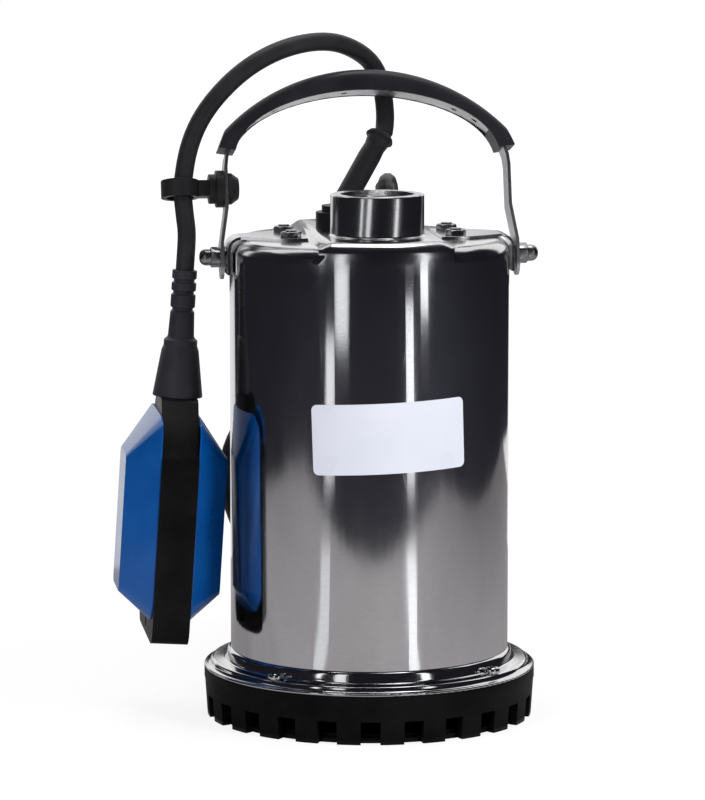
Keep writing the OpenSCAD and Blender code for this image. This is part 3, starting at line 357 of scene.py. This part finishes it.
DARK_CEILING, CEILING_LEVEL = [(-6, -6), (6, -6), (6, 1), (-6, 1)], 3.5
CARDS = {  # panel: (azimuth, distance, width, low edge, high edge, strength)
    "panel_left": (-30, 0.8, 0.12, 0.118, 0.6, 1.15),
    "panel_left_low": (-40, 0.82, 0.10, 0.02, 0.122, 1.15),
    "panel_left_far": (-47, 0.8, 0.06, 0.2, 0.6, 1.5),
    "panel_right": (36, 0.8, 0.10, 0.138, 0.6, 1.6),
    "panel_right_low": (24, 0.82, 0.085, 0.02, 0.145, 1.6),
}
STRIPS = {  # strip: (azimuth, near end, far end, width, strength)
    "path_left": (-42, 0.2, 0.62, 0.09, 0.9),
    "path_right": (23.5, 0.2, 0.62, 0.085, 1.42),
}
BACK_CARD = ((-0.95, 1.9), (-0.2, 1.9), 0.06, 0.45)     # foot, other foot, low edge, high edge
BACK_GLOW = 0.85
TABLE_GREYS = [(0, (0.28, 0.27, 0.28)), (0.5, (0.375, 0.36, 0.365)),
               (0.7, (0.30, 0.285, 0.295)), (0.9, (0.19, 0.18, 0.185))]
GREYS_REACH = 0.9           # from the middle, left and right
FLOOR_GLOW = (1.06, 1.24)   # from near to far
GLOW_REACH = (0.2, 2.5)
FLOOR_SEEN = 0.8            # the glow's part in the floor that the camera sees
FLOOR_MIRRORED = 0.3        # and in the floor that reflections show
SKY_ON_DULL = 0.5           # the sky's strength on dull surfaces


def stage_sheet(name, corners, finish, mirrored_only=True):
    """A flat sheet of the studio; most are there for the polished steel alone, which mirrors them."""
    mesh = bpy.data.meshes.new(name)
    mesh.from_pydata(corners, [], [tuple(range(len(corners)))])
    mesh.materials.append(finish)
    sheet = bpy.data.objects.new(name, mesh)
    scene.collection.objects.link(sheet)
    if mirrored_only:
        sheet.visible_camera = sheet.visible_diffuse = sheet.visible_shadow = False
        sheet.visible_transmission = False


def level_sheet(name, outline, level, finish, mirrored_only=True):
    """A level sheet from its outline on the floor."""
    stage_sheet(name, [(x, y, level) for x, y in outline], finish, mirrored_only)


def upright_sheet(name, foot, other_foot, low, high, finish):
    """An upright oblong between two places on the floor."""
    stage_sheet(name, [(*foot, low), (*other_foot, low), (*other_foot, high), (*foot, high)], finish)


def upright_card(name, azimuth_deg, distance, width, low, high, finish):
    """An upright oblong that faces the object."""
    middle = round_place(azimuth_deg, distance)
    along = round_place(azimuth_deg + 90, width / 2)
    upright_sheet(name, (middle - along)[:2], (middle + along)[:2], low, high, finish)


def floor_strip(name, azimuth_deg, near, far, width, finish):
    """A wedge of lit floor that widens with distance, so that the jacket shows it as an even streak."""
    focus = JACKET_R * MM / 2
    across = round_place(azimuth_deg + 90, width / 2)
    narrow = across * (near - focus) / (far - focus)
    low, high = round_place(azimuth_deg, near, STRIP_LEVEL), round_place(azimuth_deg, far, STRIP_LEVEL)
    stage_sheet(name, [low - narrow, low + narrow, high + across, high - across], finish)


def dull(name, colour, roughness, **sockets):
    """A surface of the studio that doesn't shine."""
    return Finish(name, colour, roughness, Specular_IOR_Level=0.0, **sockets)


def panel(strength):
    """The finish of a lit panel."""
    glow = dull("lit panel", (0, 0, 0), 0.9, Emission_Color=(0.97, 0.98, 1, 1), Emission_Strength=strength)
    return glow.material


def add_floor():
    """White, with the object's shadow; it glows more with distance, so that it ends in pure white."""
    white = dull("white surround", (0.82, 0.82, 0.82), 0.9)
    far = white.node("ShaderNodeVectorMath", operation="LENGTH")
    white.link(white.place, far.inputs[0])
    glow = white.node("ShaderNodeEmission")
    white.link(white.spread(far.outputs["Value"], *FLOOR_GLOW, *GLOW_REACH), glow.inputs["Strength"])
    rays = white.node("ShaderNodeLightPath").outputs
    seen = white.scaled(rays["Is Camera Ray"], FLOOR_SEEN)
    indirect = white.maths("MAXIMUM", rays["Is Glossy Ray"], rays["Is Transmission Ray"])
    mirrored = white.scaled(indirect, FLOOR_MIRRORED)
    mix = white.node("ShaderNodeMixShader")
    white.link(white.maths("MAXIMUM", seen, mirrored), mix.inputs[0])
    white.link(white.shader.outputs[0], mix.inputs[1])
    white.link(glow.outputs[0], mix.inputs[2])
    white.link(mix.outputs[0], white.tree.nodes["Material Output"].inputs["Surface"])
    level_sheet("floor", FLOOR, 0, white.material, False)


def add_mirrored_room():
    """The room that only reflections show."""
    dark = dull("dark room", (0.022, 0.022, 0.029), 0.8).material
    grey = dull("shaded table top", (0.4, 0.4, 0.4), 0.9)
    across = grey.spread(grey.along(0), 0, 1, -GREYS_REACH, GREYS_REACH)
    grey.to("Base Color", grey.ramp(across, TABLE_GREYS))
    level_sheet("table_top", TABLE_TOP, TABLE_LEVEL, grey.material)
    for name, (edge, outside) in DARK_FLOOR.items():
        level_sheet(name, edge + outside, DARK_LEVEL, dark)
    level_sheet("bright_back", BRIGHT_BACK, BRIGHT_LEVEL, panel(BACK_GLOW))
    upright_sheet("bright_back_left", *BACK_CARD, panel(BACK_GLOW))
    for name, (foot, other_foot, height) in DARK_WALLS.items():
        upright_sheet(name, foot, other_foot, 0, height, dark)
    level_sheet("dark_ceiling", DARK_CEILING, CEILING_LEVEL, dark)
    for name, (azimuth, distance, width, low, high, strength) in CARDS.items():
        upright_card(name, azimuth, distance, width, low, high, panel(strength))
    for name, (azimuth, near, far, width, strength) in STRIPS.items():
        floor_strip(name, azimuth, near, far, width, panel(strength))


def add_world():
    """White to the camera, in reflections and through glass, and a weaker light on dull surfaces."""
    world = bpy.data.worlds.new("surround")
    world.use_nodes = True
    sky = Nodes(world.node_tree)
    back = sky.tree.nodes["Background"]
    back.inputs["Color"].default_value = (1, 1, 1, 1)
    rays = sky.node("ShaderNodeLightPath").outputs
    white = sky.maths("MAXIMUM", rays["Is Camera Ray"], rays["Is Transmission Ray"])
    white = sky.maths("MAXIMUM", white, rays["Is Glossy Ray"])
    sky.link(sky.spread(white, SKY_ON_DULL, 1, 0, 1), back.inputs["Strength"])
    scene.world = world


# ---------- mesh helpers ----------

def finished(name, mesh, finish, body, stands_for=(), sharp=35):
    """Put a mesh in the scene as a piece of one body."""
    mesh.shade_smooth()
    mesh.set_sharp_from_angle(angle=radians(sharp))
    mesh.materials.clear()
    mesh.materials.append(finish)
    piece = bpy.data.objects.new(name, mesh)
    scene.collection.objects.link(piece)
    if body:
        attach(piece, body)
    if stands_for:
        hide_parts(*stands_for)
    return piece


def from_bmesh(bm, name):
    """Make a mesh of the bmesh, and free it."""
    mesh = bpy.data.meshes.new(name)
    bm.to_mesh(mesh)
    bm.free()
    return mesh


def whole(bm):
    """All of its vertices, edges and faces, for the operators that cut."""
    return bm.verts[:] + bm.edges[:] + bm.faces[:]


def catmull(points, step):
    """A smooth line through the points, with a point about every step millimetres."""
    pts = [Vector(p) for p in points]
    pts = [2 * pts[0] - pts[1]] + pts + [2 * pts[-1] - pts[-2]]
    line = []
    for i in range(1, len(pts) - 2):
        a, b, c, d = pts[i - 1:i + 3]
        count = max(1, round((c - b).length / step))
        for k in range(count):
            t = k / count
            line.append(0.5 * (2 * b + (c - a) * t + (2 * a - 5 * b + 4 * c - d) * t * t
                               + (3 * b - a - 3 * c + d) * t ** 3))
    line.append(pts[-2])
    return line


def relaxed(line, rounds, held=2):
    """The same line with its small waves taken out; the ends stay."""
    for _ in range(rounds):
        line = [p if i < held or i >= len(line) - held else 0.5 * p + 0.25 * (line[i - 1] + line[i + 1])
                for i, p in enumerate(line)]
    return line


def cord_curve(name, line, diameter, finish, body):
    """A round cord, kept as a curve."""
    curve = bpy.data.curves.new(name, "CURVE")
    curve.dimensions = "3D"
    curve.bevel_depth = diameter / 2 * MM
    curve.bevel_resolution = 3
    curve.use_fill_caps = True
    spline = curve.splines.new("POLY")
    spline.points.add(len(line) - 1)
    for point, place in zip(spline.points, line):
        point.co = (*(place * MM), 1)
    spline.use_smooth = True
    curve.materials.append(finish)
    piece = bpy.data.objects.new(name, curve)
    scene.collection.objects.link(piece)
    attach(piece, body)
    return piece


def swept(name, line, radius, sides=24):
    """A round closed tube along a line, its ring carried on without twist."""
    bm = bmesh.new()
    rings = []
    normal = None
    for i, place in enumerate(line):
        ahead = (line[min(i + 1, len(line) - 1)] - line[max(i - 1, 0)]).normalized()
        if normal is None:
            normal = ahead.orthogonal().normalized()
        normal = (normal - normal.dot(ahead) * ahead).normalized()
        turn = Matrix((normal, ahead.cross(normal), ahead)).transposed().to_4x4()
        ring = bmesh.ops.create_circle(bm, segments=sides, radius=radius * MM,
                                       matrix=Matrix.Translation(place * MM) @ turn)["verts"]
        rings.append(ring)
    rims = [[bm.edges.get((ring[k], ring[(k + 1) % sides])) for k in range(sides)] for ring in rings]
    for first, second in zip(rims, rims[1:]):
        bmesh.ops.bridge_loops(bm, edges=first + second)
    for rim in (rims[0], rims[-1]):
        bmesh.ops.contextual_create(bm, geom=rim)
    bmesh.ops.recalc_face_normals(bm, faces=bm.faces)
    return from_bmesh(bm, name)


def turned(profile, segments):
    """A closed ring of revolution about Z from its (radius, height) outline."""
    bm = bmesh.new()
    verts = [bm.verts.new((r * MM, 0, z * MM)) for r, z in profile]
    edges = [bm.edges.new((verts[i], verts[(i + 1) % len(verts)])) for i in range(len(verts))]
    bmesh.ops.spin(bm, geom=verts + edges, cent=(0, 0, 0), axis=(0, 0, 1), angle=FULL_TURN,
                   steps=segments, use_merge=True)
    bmesh.ops.remove_doubles(bm, verts=bm.verts, dist=1e-7)
    bmesh.ops.recalc_face_normals(bm, faces=bm.faces)
    return bm


def float_place(x, y, z):
    """A place on the float, from its hinge; z is along it."""
    c, t = cos(FLOAT_TILT), sin(FLOAT_TILT)
    return Vector(FLOAT_PIVOT) + Vector((x * c + z * t, y, z * c - x * t))


# ---------- cords ----------

SLEEVE_START = Vector((-17, 11, BAND_Z + 5.8))
SLEEVE_DIR = Vector((28, 23, 42)).normalized()
SLEEVE_LENGTH = 55.5
SLEEVE_END = SLEEVE_START + SLEEVE_LENGTH * SLEEVE_DIR
LEAD_EXIT = Vector((12.5, 30.32, 284.29))     # the mouth of the mains lead's sleeve

FLOAT_ROUTE = [
    SLEEVE_END, SLEEVE_END + 7 * SLEEVE_DIR,
    (14, 41.2, 328.9), (13, 43.1, 339.8), (8, 42, 351), (-2, 35.2, 358.5), (-15, 26.8, 363.8),
    (-32.5, 19, 363.8), (-50.3, 14.6, 358.8), (-67, 11, 349.4), (-81, 9.6, 336.4), (-91, 9.1, 323),
    (CLIP[0] + 4.6, CLIP[1] - 0.4, CLIP[2] + 22), (CLIP[0] + 3, CLIP[1] - 0.3, CLIP[2] + 13.9),
]
IN_CLIP = (CLIP[0] + 1.2, CLIP[1], CLIP[2])
BELOW_CLIP = (CLIP[0] + 2.9, CLIP[1], CLIP[2] - 17)
LEAD_ROUTE = [
    LEAD_EXIT, (13, 33, 285.5), (13.4, 36.2, 286.1), (14.6, 44.7, 287.3), (17, 52, 287.3), (20, 60.5, 285.9),
    (22.5, 71, 281.3), (23.8, 79.5, 272.7), (24, 84, 262), (22.5, 85.5, 251.5), (19.5, 86.5, 239.5),
    (14, 88.5, 227), (6.5, 90.5, 215.5), (-3, 91.5, 204.5), (-14, 91.5, 194), (-26, 91, 184),
    (-38, 90, 173.5), (-49.5, 88, 162), (-60, 84.5, 149), (-68, 82, 135.5), (-71.5, 81, 122),
    (-70, 81.5, 108), (-64.5, 83, 94.5), (-58.5, 85.5, 80.5), (-52.5, 89, 66), (-47.5, 93, 51.5),
    (-44, 98, 38), (-42, 105, 26), (-42, 114, 16.5), (-43.5, 125, 10), (-45.5, 137, 6), (-48, 149, 4.2),
    (-49, 163, 4),
]
TAIL_ROUTE = [
    (-49, 169, 44), (-48.4, 175.6, 44.3), (-46.7, 182, 45), (-43.9, 188, 46.1), (-40.1, 193.4, 47.3),
    (-35.4, 198.1, 48.7), (-30, 201.9, 49.9), (-24, 204.7, 51), (-17.6, 206.4, 51.7), (-11, 207, 52),
    (-2.9, 206.5, 52.6), (5, 204.9, 54.2), (12.7, 202.3, 56.4), (20, 198.7, 59), (26.7, 194.2, 61.6),
    (32.8, 188.8, 63.8), (38.2, 182.7, 65.4), (42.7, 176, 66), (43.45, 174.7, 66),
]
POINTS_IN_TURN = 24
STEP_FROM = 0.6     # the part of a turn after which the lead moves over to the next one
SHARP_CABLE = 60    # degrees; only a cable's ends are sharper
HAIR = 0.02         # by which the cable's lower piece is thinner than the upper one


def coil_line():
    """Flat spirals laid on each other: in on one layer and out on the next."""
    points = []
    turns_in_layer = len(COIL_RADII)
    for layer in range(COIL_LAYERS):
        radii = COIL_RADII if layer % 2 == 0 else COIL_RADII[::-1]
        for turn in range(turns_in_layer):
            last_turn = turn == turns_in_layer - 1
            following = radii[turn] if last_turn else radii[turn + 1]
            climbs = last_turn and layer < COIL_LAYERS - 1
            for k in range(POINTS_IN_TURN):
                part = k / POINTS_IN_TURN
                late = min(1.0, max(0.0, (part - STEP_FROM) / (1 - STEP_FROM)))
                step = late * late * (3 - 2 * late)
                radius = radii[turn] + (following - radii[turn]) * step
                rise = step if climbs else 0
                a = pi - FULL_TURN * part
                points.append(Vector((COIL_AT[0] + radius * cos(a), COIL_AT[1] + radius * sin(a),
                                      LEAD_D * (layer + rise) + LEAD_D / 2)))
    return points


def add_mains_lead():
    """One cord from its sleeve through the coil to the plug; gives its length in metres."""
    run = relaxed(catmull(LEAD_ROUTE, 6), 6)
    tail = relaxed(catmull(TAIL_ROUTE, 6), 2)
    line = run + coil_line() + tail
    length = sum((b - a).length for a, b in zip(line, line[1:])) * MM
    lead = cord_curve("mains_lead", line, LEAD_D, RUBBER, "housing")
    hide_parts("power_cord_run", "power_cord_coil", "plug_lead")
    return length


def add_float_cable():
    """The cable from its sleeve over the handle to its clip, and below the clip past the float's hinge to its
    boot; both pieces stay where they are laid, on no body.
    """
    cable = relaxed(catmull(FLOAT_ROUTE + [IN_CLIP], 4), 6)
    mesh = swept("float cable", cable, FLOAT_CABLE_D / 2)
    bent = finished("bent_float_cable", mesh, RUBBER, None, ["float_cable"], SHARP_CABLE)
    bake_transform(bent)

    held = relaxed(catmull([IN_CLIP, BELOW_CLIP, FLOAT_PIVOT, float_place(0, 0, BOOT_TOP - 2)], 2.5), 4)
    mesh = swept("hinge cable", held, FLOAT_CABLE_D / 2 - HAIR)
    bent = finished("hinge_cable", mesh, RUBBER, None, ["clip_cable", "float_tail"],
                    SHARP_CABLE)
    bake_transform(bent)


# ---------- the visible solids ----------

EDGES = {  # node: (rounding of its edges in millimetres, segments)
    "jacket": (0, 0), "flange_ring": (0, 0), "outlet_socket": (0.2, 2), "bracket_left": (0.4, 2),
    "bracket_right": (0.4, 2), "handle_strap": (0.25, 2), "cap_nuts": (0.3, 2), "bracket_nuts": (0.3, 2),
    "flange_screws": (0.2, 2), "pivot_washers": (0.25, 2), "grip": (1.9, 4), "cable_clip": (0.6, 2),
    "clip_plug": (0.5, 2), "float_boot": (0.5, 2), "float_frame": (2.2, 4),
    "float_shell_outer": (2.6, 4), "float_shell_inner": (2.6, 4), "strainer_base": (0.5, 2),
    "bottom_plate": (0.4, 2), "float_gland": (0.4, 2), "power_gland": (0.4, 2), "mains_plug": (0.6, 2),
    "coil_tie": (0.2, 2),
}
WALL_LOOPS = {"jacket": (37.5, 38.5, 251.0, 252.0)}   # level loops that keep the wall's shading upright
SAME_PLACE = 2e-6      # metres
SAME_PLANE = radians(0.4)
ROUNDED_FROM = radians(40)


def smoothed(node, rounding, segments):
    """The node's own shape, its flats joined, so that walls shade smoothly and edges can be rounded."""
    bm = bmesh.new()
    bm.from_mesh(frame["nodes"][node].data)
    bmesh.ops.remove_doubles(bm, verts=bm.verts, dist=SAME_PLACE)
    bmesh.ops.dissolve_degenerate(bm, edges=bm.edges, dist=SAME_PLACE / 2)
    if rounding:
        bmesh.ops.dissolve_limit(bm, angle_limit=SAME_PLANE, verts=bm.verts, edges=bm.edges)
    for level in WALL_LOOPS.get(node, ()):
        bmesh.ops.bisect_plane(bm, geom=whole(bm), plane_co=(0, 0, level * MM), plane_no=(0, 0, 1))
    mesh = from_bmesh(bm, "smooth " + node)
    piece = finished("smooth_" + node, mesh, FINISH_OF[node], BODY_OF[node], [node])
    if rounding:
        edge = piece.modifiers.new("edges", "BEVEL")
        edge.width = rounding * MM
        edge.segments = segments
        edge.limit_method = "ANGLE"
        edge.angle_limit = ROUNDED_FROM
        edge.harden_normals = True


# ---------- label ----------

LABEL_W, LABEL_H, LABEL_CORNER = 85.0, 37.4, 3.0
LABEL_AZIMUTH, LABEL_Z = 0.9, 161.3
LABEL_TILT = radians(2.0)
LABEL_LIFT, LABEL_THICKNESS = 0.06, 0.14
LABEL_FOLD = 2      # millimetres between the lines on which it bends


def add_label():
    """A bare sticker, put on a little crooked and bent round the jacket."""
    bm = bmesh.new()
    bmesh.ops.create_grid(bm, x_segments=1, y_segments=1, size=0.5)
    bmesh.ops.scale(bm, verts=bm.verts, vec=(LABEL_W, LABEL_H, 1))
    bmesh.ops.bevel(bm, geom=bm.verts[:], offset=LABEL_CORNER, offset_type="OFFSET", segments=6, profile=0.5,
                    affect="VERTICES", material=-1)
    bmesh.ops.rotate(bm, verts=bm.verts, cent=(0, 0, 0), matrix=Matrix.Rotation(LABEL_TILT, 3, "Z"))
    reach = int(LABEL_W / 2) + 2 * LABEL_FOLD
    for x in range(-reach, reach, LABEL_FOLD):
        bmesh.ops.bisect_plane(bm, geom=whole(bm), plane_co=(x, 0, 0), plane_no=(1, 0, 0))
    radius = JACKET_R + LABEL_LIFT
    for v in bm.verts:
        place = round_place(LABEL_AZIMUTH + v.co.x / radius * 180 / pi, radius)
        v.co = Vector((place.x, place.y, LABEL_Z + v.co.y)) * MM
    bmesh.ops.recalc_face_normals(bm, faces=bm.faces)
    if sum(f.normal.dot(f.calc_center_median()) for f in bm.faces) < 0:     # an open sheet may come out inwards
        bmesh.ops.reverse_faces(bm, faces=bm.faces)
    bmesh.ops.solidify(bm, geom=bm.faces[:], thickness=-LABEL_THICKNESS * MM)
    bmesh.ops.recalc_face_normals(bm, faces=bm.faces)
    finished("label", from_bmesh(bm, "label"), LABEL_FILM, "housing", sharp=50)


# ---------- outlet thread and small rings ----------

THREAD_PITCH, THREAD_DEPTH = 2.309, 0.9      # eleven threads to the inch
THREAD_TURNS = 8
TURN_STEPS = 48
THREAD_START = BAND_Z + 1.4
THREAD_ROOT = OUTLET_BORE + 0.05             # a little inside the wall
LIP_BACK = 1.8       # from the sleeve's mouth to the middle of its lip
COLLAR_Z = -59.3     # on the float, from its hinge


def add_outlet_thread():
    """A ridge that winds up the outlet's bore."""
    bm = bmesh.new()
    half = 0.44 * THREAD_PITCH
    ridge = ((THREAD_ROOT, -half), (OUTLET_BORE - THREAD_DEPTH, 0), (THREAD_ROOT, half))
    verts = [bm.verts.new((x * MM, 0, z * MM)) for x, z in ridge]
    edges = [bm.edges.new(pair) for pair in (verts[:2], verts[1:], (verts[2], verts[0]))]
    bmesh.ops.spin(bm, geom=verts + edges, cent=(0, 0, 0), axis=(0, 0, 1),
                   dvec=(0, 0, THREAD_PITCH / TURN_STEPS * MM), angle=FULL_TURN * THREAD_TURNS,
                   steps=TURN_STEPS * THREAD_TURNS, use_merge=False)
    bmesh.ops.holes_fill(bm, edges=[e for e in bm.edges if e.is_boundary], sides=4)
    bmesh.ops.translate(bm, verts=bm.verts, vec=Vector((0, OUTLET_Y, THREAD_START)) * MM)
    bmesh.ops.recalc_face_normals(bm, faces=bm.faces)
    finished("outlet_thread", from_bmesh(bm, "outlet thread"), FINISH_OF["outlet_socket"], "housing",
             sharp=20)


def add_ring(name, centre, direction, finish, body, inner, outer, width):
    """A collar with rounded edges on a cable or sleeve."""
    half, r = width / 2, (outer - inner) * 0.45
    profile = [(inner, -half), (outer - r, -half), (outer, -half + r),
               (outer, half - r), (outer - r, half), (inner, half)]
    bm = turned(profile, TURN_STEPS)
    turn = direction.normalized().to_track_quat("Z", "Y").to_matrix().to_4x4()
    bmesh.ops.transform(bm, verts=bm.verts, matrix=Matrix.Translation(centre * MM) @ turn)
    finished(name, from_bmesh(bm, name), finish, body, sharp=40)


add_camera()
add_floor()
add_mirrored_room()
add_world()
add_lamps()
# every solid has its finish, those inside as well
for node, part in frame["nodes"].items():
    part.data.materials.clear()
    part.data.materials.append(FINISH_OF[node])
lead_length = add_mains_lead()
add_float_cable()
for node, (rounding, segments) in EDGES.items():
    smoothed(node, rounding, segments)
add_label()
add_outlet_thread()
add_ring("sleeve_lip", SLEEVE_END - LIP_BACK * SLEEVE_DIR, SLEEVE_DIR,
         RUBBER, "housing", inner=5.7, outer=7.9, width=2.4)
add_ring("boot_collar", float_place(0, 0, COLLAR_Z), float_place(0, 0, 1) - float_place(0, 0, 0),
         BOOT_RUBBER, "float", inner=6.0, outer=9.1, width=6.4)
print("mains lead length", round(lead_length, 3))

scene.view_settings.view_transform = "Standard"
